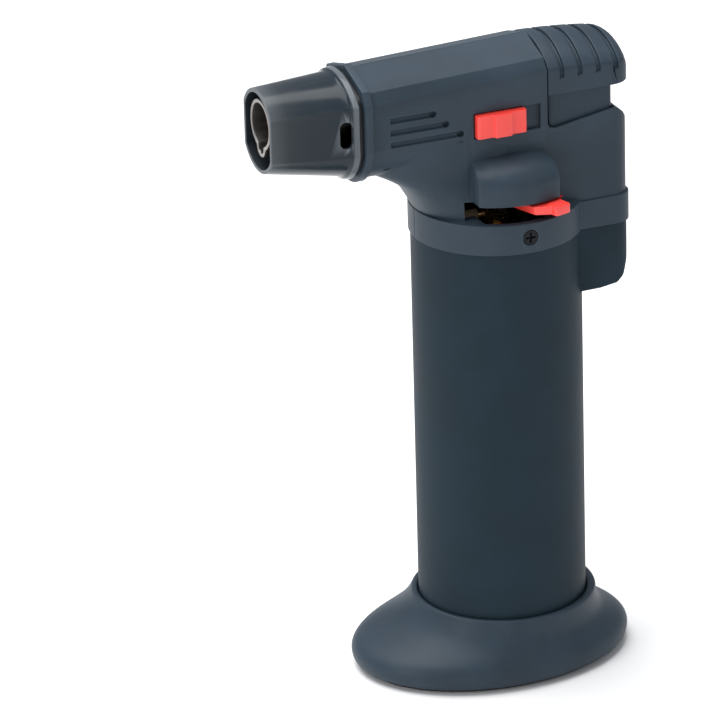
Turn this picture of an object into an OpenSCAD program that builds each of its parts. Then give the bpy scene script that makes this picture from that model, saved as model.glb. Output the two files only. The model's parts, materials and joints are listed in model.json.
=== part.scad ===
// Butane hand torch: a flared stand, an upright fuel handle and a pistol head.
// Origin: centre of the handle at the level the stand rests on. +Z up the handle, -X along the flame.

/* [Handle and stand] */
// Radius of the round handle
handle_r = 20.3; // [19.5:0.1:20.6]
// Height of the line where the handle meets the head
handle_top = 110.3; // [108:0.1:111]
// Thickness of the handle's wall
handle_wall = 3.2; // [2.8:0.1:3.4]
// Height of the stand's rim
stand_h = 16.5; // [15:0.1:18]
// Half length of the stand along the flame direction
stand_a = 34.8; // [32:0.1:36]
// Half width of the stand
stand_b = 26; // [25:0.1:28]
// How far the stand's middle is set towards the nozzle
stand_shift = 3.5; // [2:0.1:5]

/* [Head] */
// Half width of the barrel and the rear of the head
side_y = 12.2; // [12:0.1:12.6]
// Thickness of the head's moulded shell
shell = 1.8; // [1.6:0.1:1.9]
// Radius of the collar band
collar_r = 20.8; // [20.6:0.1:21]
// Height of the top of the collar band
collar_top = 117.8; // [117.4:0.1:118]
// Front end of the barrel
barrel_front = -37.6; // [-38:0.1:-37]
// Flat rear face of the head
head_rear = 30; // [29.5:0.1:30.5]

/* [Burner] */
// Height of the flame tube's axis
flame_z = 145.3; // [145:0.1:145.5]
// Outer radius of the flame tube
flame_r = 6.2; // [6:0.1:6.3]
// Front end of the heat shield
shield_front = -59.6; // [-61:0.1:-59]

/* [Controls] */
// Travel of the trigger
trigger_travel = 4.5; // [4:0.1:4.5]
// Angle of the flame lever from the left side, at its rest stop
lever_angle = 17; // [15:0.5:17]
// Length of the red lock slide
lock_len = 12.6; // [12:0.1:13]

/* [Hidden] */
$fn = 64;
EPS = 0.01;
RUN = 0.05;                       // radial clearance of a running fit
GAP = 0.3;                        // gap between pieces that move past each other

// barrel section: a round belly, flat sides and a shallow ridge roof
BELLY_Z = 141.2;
BELLY_R = 12.4;
RIDGE_Z = 155.9;
SHOULDER_Y = 10.3;
SHOULDER_Z = 152.7;
CREASE_Z = 150;
ROOF_TILT = 2.1;
BODY_FRONT = barrel_front + 1.9;  // where the lip steps down to the barrel
LIP_PROUD = 0.7;

// trigger opening
TRIGGER_X = 8.6;
SKIRT_REAR = 25.6;
SKIRT_Y = 11.2;
CAP_BOTTOM = 145.2;
REAR_RIM = 139.6;
SKIRT_BOTTOM = 134.5;
PRESS_Z = 139;

// collar, slot and bulge
SLOT_TOP = 122.4;
SLOT_LEFT = -40.2;
SLOT_RIGHT = 28;
BULGE_LEFT = -11.4;
BULGE_RIGHT = 8.4;

// stand
STAND_FLOOR = 3.2;
SOCKET_R = handle_r + RUN;
HANDLE_BOTTOM = STAND_FLOOR + 0.1;

// tank
SPIGOT_R = 18.7;
SPIGOT_TOP = 115.6;
TANK_R = handle_r - handle_wall;
LEDGE_Z = 102;
LID_TOP = 107;
BOSS_BOTTOM = 94.3;
POCKET_X = 20.9;
POCKET_REAR = 28.1;

// valve on the handle's axis
NECK_R = 3.2;
STEM_R = 1.2;
STEM_TOP = 128.4;
LEVER_Z = 119.8;
LEVER_T = 2.3;
HUB_R = 5.2;
RING_R = 7.6;
OUTLET_Z = 113.5;

// neck that carries the shield in the head
SHIELD_NECK_Z = 144.3;
SHIELD_NECK_R = 8.2;

// rocker
PIVOT_X = 5.5;
PIVOT_Z = 127.3;
TIP_X = 17;
TIP_Z = 135;

// ignition
PIEZO_X0 = 21.1;
PIEZO_X1 = 27.9;
PIEZO_Y = 5.2;
PIEZO_Z0 = 96.8;
PIEZO_Z1 = 127;
SPARK_Z = 139.7;

// screws in the head, each its x, z and the y its head sits on, and the collar screw
SCREWS = [[-31, 133.2, 7.4], [-18, 124.2, 8.6], [14.5, 121.3, 8.6], [3.6, 147.2, 8.6]];
COLLAR_SCREW_Z = 114.2;

// louvre grooves, each a [height, right end] pair
LOUVRES = [[145.5, -20.4], [142.5, -17.2], [139.5, -13.5]];
LOUVRE_X = -31.1;

// routes of the inner tube and wire, as points chosen along their runs
GAS_ROUTE = [
    [-5, 0, 113.5], [-7.5, 0, 113.6], [-9.6, 0, 114.6], [-11, 0, 117], [-11.6, 0, 121], [-11.8, 0, 126],
    [-12.2, 0, 131], [-13.2, 0, 135], [-14.2, 0, 138], [-14.5, 0, 140.6],
];
WIRE_ROUTE = [
    [24.5, 6.2, 112], [24.5, 7.4, 116], [21, 8, 121.5], [15, 8, 126.2], [10, 8, 129], [6, 8.2, 131.2],
    [0, 8.4, 134], [-12, 8.2, 137.2], [-20, 6.4, 137.9], [-26, 3.6, 138.2], [-29, 1.2, 139.2],
    [-30.8, 0, SPARK_Z],
];

// ---- helpers ----

// extrude a (y, z) outline along X
module along_x(x0, x1) {
    translate([x0, 0, 0])
        rotate([90, 0, 90])
            linear_extrude(x1 - x0)
                children();
}

// extrude an (x, z) outline along Y
module along_y(y0, y1) {
    translate([0, y1, 0])
        rotate([90, 0, 0])
            linear_extrude(y1 - y0)
                children();
}

// a straight round bar along Y
module bar_y(x, z, r, y0, y1) {
    translate([x, y0, z])
        rotate([-90, 0, 0])
            cylinder(r = r, h = y1 - y0);
}

// a straight round bar along X
module bar_x(x0, x1, z, r) {
    translate([x0, 0, z])
        rotate([0, 90, 0])
            cylinder(r = r, h = x1 - x0);
}

// a washer or tube standing on Z
module tube_z(z0, z1, outer, inner) {
    translate([0, 0, z0])
        difference() {
            cylinder(r = outer, h = z1 - z0);
            translate([0, 0, -1])
                cylinder(r = inner, h = z1 - z0 + 2);
        }
}

// an axis-aligned box from its two corners
module block(x0, x1, y0, y1, z0, z1) {
    translate([x0, y0, z0])
        cube([x1 - x0, y1 - y0, z1 - z0]);
}

// a box with round upright edges
module round_block(x0, x1, half_y, z0, z1, r) {
    translate([0, 0, z0])
        linear_extrude(z1 - z0)
            rounded_2d(x0, x1, -half_y, half_y, r);
}

module rounded_2d(x0, x1, y0, y1, r) {
    for (p = [[x0 + r, y0 + r], [x1 - r, y0 + r], [x0 + r, y1 - r], [x1 - r, y1 - r]])
        translate(p)
            circle(r = r);
    translate([x0 + r, y0])
        square([x1 - x0 - 2 * r, y1 - y0]);
    translate([x0, y0 + r])
        square([x1 - x0, y1 - y0 - 2 * r]);
}

function unit(v) = v / norm(v);
function ring_at(p, dir, side, r, n) =
    let (u = unit(cross(dir, side)), w = unit(cross(u, dir)))
    [for (k = [0 : n - 1]) p + r * (cos(360 * k / n) * u + sin(360 * k / n) * w)];

// a round tube along a route of points
module swept(points, r, side, n = 8) {
    last = len(points) - 1;
    rings = [
        for (i = [0 : last])
            let (d = unit(points[min(i + 1, last)] - points[max(i - 1, 0)]))
            ring_at(points[i], d, side, r, n)
    ];
    verts = [for (ring = rings) for (p = ring) p];
    walls = [
        for (i = [0 : last - 1]) for (k = [0 : n - 1])
            [i * n + k, i * n + (k + 1) % n, (i + 1) * n + (k + 1) % n, (i + 1) * n + k]
    ];
    start_cap = [[for (k = [n - 1 : -1 : 0]) k]];
    end_cap = [[for (k = [0 : n - 1]) last * n + k]];
    polyhedron(points = verts, faces = concat(walls, start_cap, end_cap), convexity = 6);
}

// a coil spring round an upright axis, its wire inside the heights z0 and z1
module coil(x, z0, z1, r, wire_r, turns) {
    steps = 14;
    total = turns * steps;
    rise = z1 - z0 - 2 * wire_r;
    points = [
        for (i = [0 : total])
            [x + r * cos(360 * i / steps), r * sin(360 * i / steps), z0 + wire_r + rise * i / total]
    ];
    swept(points, wire_r, [0, 0, 1], 6);
}

// barrel belly and sides, inset by i, open at the top
module belly_2d(i) {
    translate([0, BELLY_Z])
        circle(r = BELLY_R - i);
    translate([-BELLY_R + i, BELLY_Z])
        square([2 * (BELLY_R - i), 30]);
}

// barrel roof and sides, inset by i, open at the bottom
module roof_2d(i) {
    w = side_y - i;
    s = SHOULDER_Y - 0.8 * i;
    polygon([
        [-w, 100], [w, 100], [w, CREASE_Z - 0.4 * i], [s, SHOULDER_Z - i],
        [0, RIDGE_Z - 1.05 * i], [-s, SHOULDER_Z - i], [-w, CREASE_Z - 0.4 * i],
    ]);
}

// barrel between two stations, its roof rising towards the rear
module barrel(x0, x1, i) {
    intersection() {
        translate([BODY_FRONT, 0, RIDGE_Z])
            rotate([0, -ROOF_TILT, 0])
                translate([-BODY_FRONT, 0, -RIDGE_Z])
                    along_x(x0 - 5, x1 + 5)
                        roof_2d(i);
        along_x(x0, x1)
            belly_2d(i);
    }
}

// ---- stand ----

module stand_slice(z, a, b, shift) {
    translate([-shift, 0, z])
        scale([a / b, 1, 1])
            cylinder(r = b, h = 0.1, $fn = 64);
}

// levels of the stand's skin: height, half length, half width, shift
STAND_SKIN = [
    [0.6, stand_a - 2.6, stand_b - 2.6, stand_shift],
    [1.4, stand_a - 0.9, stand_b - 0.9, stand_shift],
    [3, stand_a, stand_b, stand_shift],
    [4.6, stand_a - 0.1, stand_b, stand_shift],
    [7, stand_a - 1.9, stand_b - 0.6, stand_shift - 0.2],
    [9.4, stand_a - 6.3, stand_b - 2, stand_shift - 0.9],
    [12.6, stand_a - 10.6, stand_b - 3.3, stand_shift - 2.3],
    [stand_h - 0.1, handle_r + 1.9, handle_r + 1.8, -0.3],
];

module stand_skin() {
    for (k = [1 : len(STAND_SKIN) - 1])
        hull()
            for (level = [STAND_SKIN[k - 1], STAND_SKIN[k]])
                stand_slice(level[0], level[1], level[2], level[3]);
}

module stand() {
    color([0.24, 0.29, 0.33])
        difference() {
            stand_skin();
            translate([0, 0, STAND_FLOOR])
                cylinder(r = SOCKET_R, h = 20);
            // hollow round the socket, open below
            difference() {
                hull() {
                    stand_slice(0.5, stand_a - 4.4, stand_b - 4.2, stand_shift);
                    stand_slice(5.2, stand_a - 3.6, stand_b - 2.6, stand_shift);
                }
                translate([0, 0, -1])
                    cylinder(r = SOCKET_R + 1.6, h = 10);
            }
        }
}

module stand_pad() {
    color([0.1, 0.1, 0.11])
        linear_extrude(0.6 - EPS)
            polygon([
                for (k = [0 : 71])
                    [(stand_a - 2.8) * cos(5 * k) - stand_shift, (stand_b - 2.8) * sin(5 * k)]
            ]);
}

// ---- handle ----

module boss_outline() {
    polygon([
        [8, BOSS_BOTTOM - 0.2], [22, BOSS_BOTTOM], [26, BOSS_BOTTOM + 0.6], [28, BOSS_BOTTOM + 2.2],
        [29.2, BOSS_BOTTOM + 5.2], [head_rear, BOSS_BOTTOM + 11], [head_rear, handle_top], [8, handle_top],
    ]);
}

module handle_tank() {
    color([0.18, 0.23, 0.27])
        difference() {
            union() {
                translate([0, 0, HANDLE_BOTTOM])
                    cylinder(r = handle_r, h = handle_top - HANDLE_BOTTOM);
                translate([0, 0, handle_top - 1])
                    cylinder(r = SPIGOT_R, h = SPIGOT_TOP - handle_top + 1);
                intersection() {
                    along_y(-20, 20)
                        boss_outline();
                    round_block(-10, head_rear, side_y - 0.2, 90, 120, 4);
                }
            }
            // fuel space, lid seat and igniter pocket
            translate([0, 0, HANDLE_BOTTOM + 3])
                cylinder(r = TANK_R - 0.6, h = 120);
            translate([0, 0, LEDGE_Z])
                cylinder(r = TANK_R + 0.2, h = 40);
            block(POCKET_X, POCKET_REAR, -side_y + 2.2, side_y - 2.2, BOSS_BOTTOM + 2.3, handle_top + 1);
            // refill valve hole and collar screw pilot
            translate([0, 0, -1])
                cylinder(r = 3.5, h = 20);
            bar_y(0, COLLAR_SCREW_Z, 0.9, -22, -15);
        }
}

module tank_lid() {
    color([0.75, 0.76, 0.72])
        difference() {
            union() {
                translate([0, 0, LEDGE_Z + 0.8])
                    cylinder(r = TANK_R + 0.15, h = LID_TOP - LEDGE_Z - 0.8);
                translate([0, 0, LEDGE_Z - 3])
                    cylinder(r = TANK_R - 1.6, h = 4);
            }
            translate([0, 0, 90])
                cylinder(r = 4, h = 30);
            translate([0, 0, 90])
                cylinder(r = 9, h = LEDGE_Z - 90);
        }
}

module tank_lid_seal() {
    color([0.12, 0.12, 0.12])
        tube_z(LEDGE_Z, LEDGE_Z + 0.8, TANK_R + 0.2, TANK_R - 1.6);
}

module refill_valve() {
    color([0.8, 0.66, 0.35])
        difference() {
            union() {
                translate([0, 0, HANDLE_BOTTOM])
                    cylinder(r = 3.5, h = 3);
                translate([0, 0, HANDLE_BOTTOM + 3])
                    cylinder(r = 5, h = 8, $fn = 6);
            }
            translate([0, 0, -1])
                cylinder(r = 0.85 + RUN, h = 12);
            translate([0, 0, HANDLE_BOTTOM - 1])
                cylinder(r = 2.3, h = 3);
            translate([0, 0, HANDLE_BOTTOM + 3.5])
                cylinder(r = 2.6, h = 12);
        }
}

module refill_stem() {
    color([0.85, 0.85, 0.86])
        difference() {
            union() {
                translate([0, 0, HANDLE_BOTTOM + 0.2])
                    cylinder(r = 0.85, h = 8.4);
                translate([0, 0, HANDLE_BOTTOM + 4.3])
                    cylinder(r = 1.9, h = 1);
            }
            translate([0, 0, HANDLE_BOTTOM - 1])
                cylinder(r = 0.35, h = 5);
        }
}

module refill_spring() {
    color("silver")
        coil(0, HANDLE_BOTTOM + 5.4, HANDLE_BOTTOM + 10.9, 1.6, 0.22, 5);
}

module refill_seal() {
    color([0.12, 0.12, 0.12])
        tube_z(HANDLE_BOTTOM + 3.5, HANDLE_BOTTOM + 4.2, 2.5, 1);
}

// ---- valve on the handle's axis ----

module valve_body() {
    color([0.8, 0.66, 0.35])
        difference() {
            union() {
                translate([0, 0, 97])
                    cylinder(r = 4, h = LID_TOP - 97);
                translate([0, 0, LID_TOP + 0.8])
                    cylinder(r = 6.4, h = 3, $fn = 6);
                translate([0, 0, LID_TOP - 1])
                    cylinder(r = 4, h = 3);
                translate([0, 0, LID_TOP])
                    cylinder(r = NECK_R, h = 16);
                bar_x(-7, 0, OUTLET_Z, 0.9);
            }
            translate([0, 0, 100])
                cylinder(r = STEM_R + RUN, h = 40);
            translate([0, 0, 96])
                cylinder(r = 0.6, h = 10);
            bar_x(-8, 0, OUTLET_Z, 0.45);
        }
}

module valve_seal() {
    color([0.12, 0.12, 0.12])
        tube_z(LID_TOP, LID_TOP + 0.8, 6, 4);
}

module valve_stem() {
    color([0.85, 0.85, 0.86]) {
        translate([0, 0, 101.5])
            cylinder(r = STEM_R, h = STEM_TOP - 101.5);
        translate([0, 0, 126.4])
            cylinder(r = 2.8, h = 1);
    }
}

module stem_spring() {
    color("silver")
        coil(0, 127.5, 134.5, 1.9, 0.25, 5);
}

module adjust_hub() {
    color([0.8, 0.66, 0.35])
        difference() {
            union() {
                translate([0, 0, LEVER_Z - 1.2])
                    cylinder(r = HUB_R, h = LEVER_T + 1.2);
                for (k = [0 : 11])
                    rotate([0, 0, 30 * k])
                        translate([HUB_R - 0.3, -0.35, LEVER_Z - 1.2])
                            cube([0.8, 0.7, 1]);
            }
            translate([0, 0, 110])
                cylinder(r = NECK_R + RUN, h = 20);
        }
}

module flame_lever() {
    color([0.93, 0.27, 0.24])
        difference() {
            union() {
                translate([0, 0, LEVER_Z])
                    cylinder(r = RING_R, h = 2);
                rotate([0, 0, lever_angle - 90]) {
                    // arm, widest at the ring
                    translate([0, 0, LEVER_Z])
                        linear_extrude(2)
                            polygon([[6, -6.4], [6, 2.4], [22.5, 2.2], [23, -2.2], [20.6, -5.3]]);
                    // thumb pad outside the slot
                    translate([0, 0, LEVER_Z])
                        linear_extrude(LEVER_T)
                            rounded_2d(21.1, 24.8, -2.3, 2.3, 0.8);
                }
            }
            translate([0, 0, 110])
                cylinder(r = HUB_R, h = 20);
        }
}

// ---- gas path and burner ----

module gas_tube() {
    color([0.85, 0.8, 0.7])
        difference() {
            swept(GAS_ROUTE, 1.5, [0, 1, 0], 10);
            bar_x(-8, -4, OUTLET_Z, 0.9);
            translate([-14.5, 0, 138.6])
                cylinder(r = 0.9, h = 4);
        }
}

module jet_holder() {
    color([0.8, 0.66, 0.35])
        difference() {
            union() {
                bar_x(-19, -11, flame_z, 4);
                bar_x(-11.2, -9, flame_z, 2.6);
                translate([-14.5, 0, 138.6])
                    cylinder(r = 0.9, h = 4);
            }
            bar_x(-20, -13, flame_z, 1.6);
            translate([-14.5, 0, 137])
                cylinder(r = 0.4, h = 8);
        }
}

module gas_jet() {
    color([0.85, 0.85, 0.86])
        difference() {
            bar_x(-20.4, -14.6, flame_z, 1.6);
            bar_x(-21, -14, flame_z, 0.3);
        }
}

module mixing_tube() {
    color([0.8, 0.66, 0.35])
        difference() {
            union() {
                bar_x(-44, -19, flame_z, 4);
                bar_x(-44, -42, flame_z, 4.4);
            }
            bar_x(-45, -18, flame_z, 2.9);
            // air holes behind the jet
            for (turn = [45 : 90 : 315])
                translate([-23, 0, flame_z])
                    rotate([turn, 0, 0])
                        cylinder(r = 1.2, h = 6);
        }
}

module burner_head() {
    color([0.78, 0.6, 0.3])
        difference() {
            bar_x(-47.5, -44, flame_z, 4.4);
            bar_x(-48, -43, flame_z, 0.8);
            for (k = [0 : 7])
                translate([-48, 2.9 * cos(45 * k), flame_z + 2.9 * sin(45 * k)])
                    rotate([0, 90, 0])
                        cylinder(r = 0.55, h = 6);
        }
}

// keyhole outline of the flame tube: a circle with a channel for the electrode below
module keyhole_2d(i) {
    tail_r = 2.6 - i;
    translate([0, flame_z])
        circle(r = flame_r - i);
    translate([0, SPARK_Z + 0.2])
        circle(r = tail_r);
    translate([-tail_r, SPARK_Z + 0.2])
        square([2 * tail_r, flame_z - SPARK_Z]);
}

module flame_tube() {
    color([0.5, 0.5, 0.5])
        difference() {
            along_x(shield_front + 0.7, -30)
                keyhole_2d(0);
            along_x(shield_front - 1, -29)
                keyhole_2d(1);
            // air holes round the root
            for (turn = [0, 60, 120, 240, 300])
                translate([-35, 0, flame_z])
                    rotate([turn, 0, 0])
                        cylinder(r = 1, h = 9);
        }
}

module burner_bracket() {
    color([0.7, 0.7, 0.72])
        difference() {
            along_x(-32.4, -31.4)
                intersection() {
                    roof_2d(2.3);
                    belly_2d(2.3);
                }
            along_x(-34, -30)
                keyhole_2d(0);
            bar_y(SCREWS[0][0], SCREWS[0][1], 2.8, -15, 15);
        }
}

module shield_neck(r) {
    bar_x(shield_front + 20, -33, SHIELD_NECK_Z, r);
}

module shield_gasket() {
    color([0.05, 0.06, 0.07])
        difference() {
            along_x(barrel_front - 1.2, barrel_front)
                intersection() {
                    roof_2d(0.9);
                    belly_2d(0.9);
                }
            bar_x(-42, -30, SHIELD_NECK_Z, SHIELD_NECK_R);
        }
}

// outline of the shield: half width, belly radius and height, crease and ridge heights
module shield_2d(w, belly_r, belly_z, crease, ridge) {
    rise = ridge - crease;
    roof_r = (w * w + rise * rise) / (2 * rise);
    intersection() {
        translate([-w, 100])
            square([2 * w, 80]);
        translate([0, ridge - roof_r])
            circle(r = roof_r, $fn = 96);
        union() {
            translate([0, belly_z])
                circle(r = belly_r, $fn = 48);
            translate([-belly_r, belly_z])
                square([2 * belly_r, 20]);
        }
    }
}

module shield_solid(x0, x1, grow) {
    hull() {
        along_x(x0, x0 + 0.05)
            shield_2d(8.5 + grow, 10.2 + grow, 143.9, 149 + 0.5 * grow, 154.1 + grow);
        along_x(x1 - 0.05, x1)
            shield_2d(11.5 + grow, 12.2 + grow, 141.9, 150 + 0.5 * grow, 155 + grow);
    }
}

module heat_shield() {
    shield_rear = barrel_front - 1.2;
    color([0.12, 0.13, 0.14])
        difference() {
            union() {
                shield_solid(shield_front, shield_rear, 0);
                // flared band at the rear
                along_x(shield_rear - 1.5, shield_rear)
                    shield_2d(12.2, 12.9, 141.9, 150.3, 155.7);
                shield_neck(SHIELD_NECK_R);
            }
            difference() {
                shield_solid(shield_front - EPS, shield_rear - 0.8, -1);
                translate([shield_rear - 0.8, -20, 120])
                    cube([10, 40, 40]);
            }
            bar_x(-45, -30, SHIELD_NECK_Z, SHIELD_NECK_R - 0.7);
            // upright vent slots near the rear
            for (side = [-1, 1])
                translate([-41.8, side * 11, 143.4])
                    rotate([90, 0, 0])
                        translate([0, 0, -3])
                            linear_extrude(6)
                                union() {
                                    translate([0, 1.8])
                                        circle(r = 1.45);
                                    translate([0, -1.8])
                                        circle(r = 1.45);
                                    translate([-1.45, -1.8])
                                        square([2.9, 3.6]);
                                }
        }
}

module spark_electrode() {
    color([0.75, 0.75, 0.77]) {
        bar_x(-53, -31.1, SPARK_Z, 0.5);
        translate([-53, 0, SPARK_Z])
            sphere(r = 0.62);
    }
}

module electrode_insulator() {
    color([0.93, 0.92, 0.88])
        difference() {
            bar_x(-49.5, -33, SPARK_Z, 1.1);
            bar_x(-50, -32, SPARK_Z, 0.5);
        }
}

// ---- ignition ----

module ignition_wire() {
    color([0.75, 0.1, 0.1])
        swept(WIRE_ROUTE, 0.7, [0, 0.3, 1], 8);
}

module piezo_body() {
    color([0.9, 0.88, 0.8])
        difference() {
            block(PIEZO_X0, PIEZO_X1, -PIEZO_Y, PIEZO_Y, PIEZO_Z0, PIEZO_Z1);
            block(PIEZO_X0 + 1.1, PIEZO_X1 - 1.1, -3.9, 3.9, 112, PIEZO_Z1 + 1);
        }
}

module piezo_plunger() {
    color([0.2, 0.2, 0.22]) {
        block(PIEZO_X0 + 1.2, PIEZO_X1 - 1.2, -3.8, 3.8, 118.5, 133);
        block(PIEZO_X0 + 1.4, PIEZO_X1 - 2.2, -2.2, 2.2, 133, PRESS_Z - 0.1);
    }
}

module piezo_spring() {
    color("silver")
        coil((PIEZO_X0 + PIEZO_X1) / 2, 112, 118.4, 1.8, 0.3, 5);
}

// ---- trigger and rocker ----

TRIGGER_BACK = 30.6;              // rear end of the cap
CAP_R = 5;                        // its rounding, seen from above
CAP_TOP_R = 3.6;                  // its rounding, seen from the side

// how far a rounding of radius r at the cap's rear has drawn in at x
function cap_in(x, r) =
    let (over = max(0, x - (TRIGGER_BACK - r)))
    r - sqrt(max(0, r * r - over * over));

// half outline of the cap at x, inset by i: side, then an arc from the crease to the ridge
function cap_half(x, i) =
    let (
        t = cap_in(x, CAP_TOP_R),
        w = side_y - i - cap_in(x, CAP_R),
        crease = 152 - 0.048 * (x - TRIGGER_X) - 0.9 * t - 0.6 * i,
        ridge = 156.9 - 0.0045 * pow(x - TRIGGER_X, 2) - t - i,
        rise = ridge - crease,
        r = (w * w + rise * rise) / (2 * rise)
    )
    [
        [w, 140], [w, crease - 1], [w - 0.25, crease - 0.1],
        for (k = [1 : 7])
            let (y = w * (1 - k / 7))
            [y, ridge - r + sqrt(r * r - y * y)],
    ];

// the cap's skin, inset by i, as one closed loft along X
module trigger_skin(i) {
    stations = concat(
        [for (k = [0 : 8]) TRIGGER_X + 0.2 + k * (TRIGGER_BACK - CAP_R - TRIGGER_X - 0.2) / 8],
        [for (turn = [12 : 12 : 84]) TRIGGER_BACK - CAP_R + CAP_R * sin(turn)]
    );
    rings = [
        for (x = stations)
            let (half = cap_half(x, i))
            concat(
                [for (p = half) [x, p[0], p[1]]],
                [for (k = [len(half) - 2 : -1 : 0]) [x, -half[k][0], half[k][1]]]
            )
    ];
    n = len(rings[0]);
    last = len(rings) - 1;
    verts = [for (ring = rings) for (p = ring) p];
    lower = [
        for (a = [0 : last - 1])
            for (k = [0 : n - 1])
                [a * n + k, (a + 1) * n + k, (a + 1) * n + (k + 1) % n]
    ];
    upper = [
        for (a = [0 : last - 1])
            for (k = [0 : n - 1])
                [a * n + k, (a + 1) * n + (k + 1) % n, a * n + (k + 1) % n]
    ];
    caps = [[for (k = [0 : n - 1]) k], [for (k = [n - 1 : -1 : 0]) last * n + k]];
    polyhedron(points = verts, faces = concat(lower, upper, caps), convexity = 6);
}

module trigger_ribs() {
    for (k = [0 : 3])
        difference() {
            block(11.8 + 4.65 * k, 13 + 4.65 * k, -20, 20, 149, 170);
            trigger_skin(0.75);
        }
}

module trigger() {
    color([0.25, 0.3, 0.35])
        difference() {
            union() {
                intersection() {
                    trigger_skin(0);
                    block(0, 40, -20, 20, CAP_BOTTOM, 170);
                }
                round_block(TRIGGER_X + 0.3, SKIRT_REAR, SKIRT_Y, SKIRT_BOTTOM, CAP_BOTTOM + 1, 1.2);
            }
            trigger_ribs();
            // hollow under the cap, open below
            block(TRIGGER_X + 1.9, SKIRT_REAR - 1.6, -SKIRT_Y + 1.5, SKIRT_Y - 1.5, 130, 151);
            // room for the plunger and for the lock tongue
            block(SKIRT_REAR - 2, SKIRT_REAR + 1, -SKIRT_Y + 1.5, SKIRT_Y - 1.5, 130, PRESS_Z);
            block(TRIGGER_X, TRIGGER_X + 3, -SKIRT_Y + 1.5, SKIRT_Y - 1.5, 130, PRESS_Z);
        }
    // rib that bears on the rocker
    color([0.25, 0.3, 0.35])
        difference() {
            block(13, 22, -2.5, 2.5, 136.5, 151.2);
            block(14.5, 20.5, -3, 3, 139, 152);
        }
}

module rocker() {
    color([0.82, 0.82, 0.8])
        difference() {
            union() {
                bar_y(PIVOT_X, PIVOT_Z, 2.4, -3.4, 3.4);
                // arm under the trigger
                along_y(-2, 2)
                    polygon([
                        [PIVOT_X - 1.1, PIVOT_Z + 1.3], [TIP_X - 0.8, TIP_Z + 0.8], [TIP_X, TIP_Z + 1],
                        [TIP_X + 0.8, TIP_Z + 0.6], [TIP_X + 1, TIP_Z - 0.2], [TIP_X + 0.5, TIP_Z - 1],
                        [PIVOT_X + 1.1, PIVOT_Z - 1.2],
                    ]);
                // fork under the valve stem's flange
                for (y0 = [-3.2, 1.7])
                    along_y(y0, y0 + 1.5)
                        polygon([
                            [PIVOT_X - 1, 126.9], [0.4, 126.1], [-0.5, 125.9], [-0.8, 125.35], [-0.5, 124.8],
                            [0.3, 124.6], [PIVOT_X - 0.7, 125.2],
                        ]);
            }
            bar_y(PIVOT_X, PIVOT_Z, 1 + RUN, -10, 10);
        }
}

module rocker_pin() {
    color([0.75, 0.75, 0.77])
        bar_y(PIVOT_X, PIVOT_Z, 1, -9.4, 9.4);
}

// ---- lock ----

LOCK_X0 = -9.9;
LOCK_X1 = LOCK_X0 + lock_len;
LOCK_Z0 = 137.8;
LOCK_Z1 = 143.5;
LOCK_TRAVEL = 3.7;
LOCK_RECESS = 1;
LOCK_BASE_Y = -side_y + LOCK_RECESS - 0.1;
LOCK_WEB = [-7.6, -1.6, 139.5, 141.8];     // web through the floor: x, x, z, z

module along_z_lock() {
    translate([0, 0, LOCK_Z0])
        linear_extrude(LOCK_Z1 - LOCK_Z0)
            children();
}

module lock_slide() {
    mid = (LOCK_X0 + LOCK_X1) / 2;
    color([0.93, 0.27, 0.24]) {
        along_z_lock()
            polygon([
                [LOCK_X0, LOCK_BASE_Y], [LOCK_X0, -13.3], [LOCK_X0 + 0.5, -13.8], [mid - 2.3, -13.8],
                [mid - 2.1, -14.6], [mid + 2.1, -14.6], [mid + 2.3, -13.8], [LOCK_X1 - 0.5, -13.8],
                [LOCK_X1, -13.3], [LOCK_X1, LOCK_BASE_Y],
            ]);
        block(LOCK_WEB[0], LOCK_WEB[1], LOCK_BASE_Y - 0.5, -10.2, LOCK_WEB[2], LOCK_WEB[3]);
    }
}

module lock_carrier() {
    color([0.15, 0.15, 0.16]) {
        block(LOCK_X0, 1.5, -10.2, -9, LOCK_Z0 - 1.1, LOCK_Z1);
        block(-1, TRIGGER_X - 0.3, -9, -6, LOCK_Z0 - 1.1, PRESS_Z - 0.3);
    }
}

// ---- head shell ----

// levels of the neck's skin: height, reach to the front, half width, squareness
NECK_SKIN = [
    [117.6, 20.5, 17.2, 2], [120.3, 21.9, 15.6, 2.2], [123.2, 23.6, 14.2, 2.5], [125.6, 25.9, 13.2, 2.7],
    [127.4, 28.9, 12.7, 2.5], [129.4, 33, 12.4, 2.2], [132.5, 36, 12.3, 2.4], [137.5, 38, 12.1, 3],
];

// point of a squared ellipse at a level
function neck_point(level, turn) =
    let (c = cos(turn), s = sin(turn), power = 2 / level[3])
    [level[1] * sign(c) * pow(abs(c), power), level[2] * sign(s) * pow(abs(s), power), level[0]];

module neck_outer() {
    n = 60;
    last = len(NECK_SKIN) - 1;
    verts = [for (level = NECK_SKIN) for (k = [0 : n - 1]) neck_point(level, (k + 0.5) * 360 / n)];
    lower = [
        for (i = [0 : last - 1]) for (k = [0 : n - 1])
            [i * n + k, (i + 1) * n + k, (i + 1) * n + (k + 1) % n]
    ];
    upper = [
        for (i = [0 : last - 1]) for (k = [0 : n - 1])
            [i * n + k, (i + 1) * n + (k + 1) % n, i * n + (k + 1) % n]
    ];
    caps = [[for (k = [0 : n - 1]) k], [for (k = [n - 1 : -1 : 0]) last * n + k]];
    intersection() {
        polyhedron(points = verts, faces = concat(lower, upper, caps), convexity = 6);
        block(BODY_FRONT + 2, -2, -30, 30, 100, 137.4);
    }
}

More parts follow.
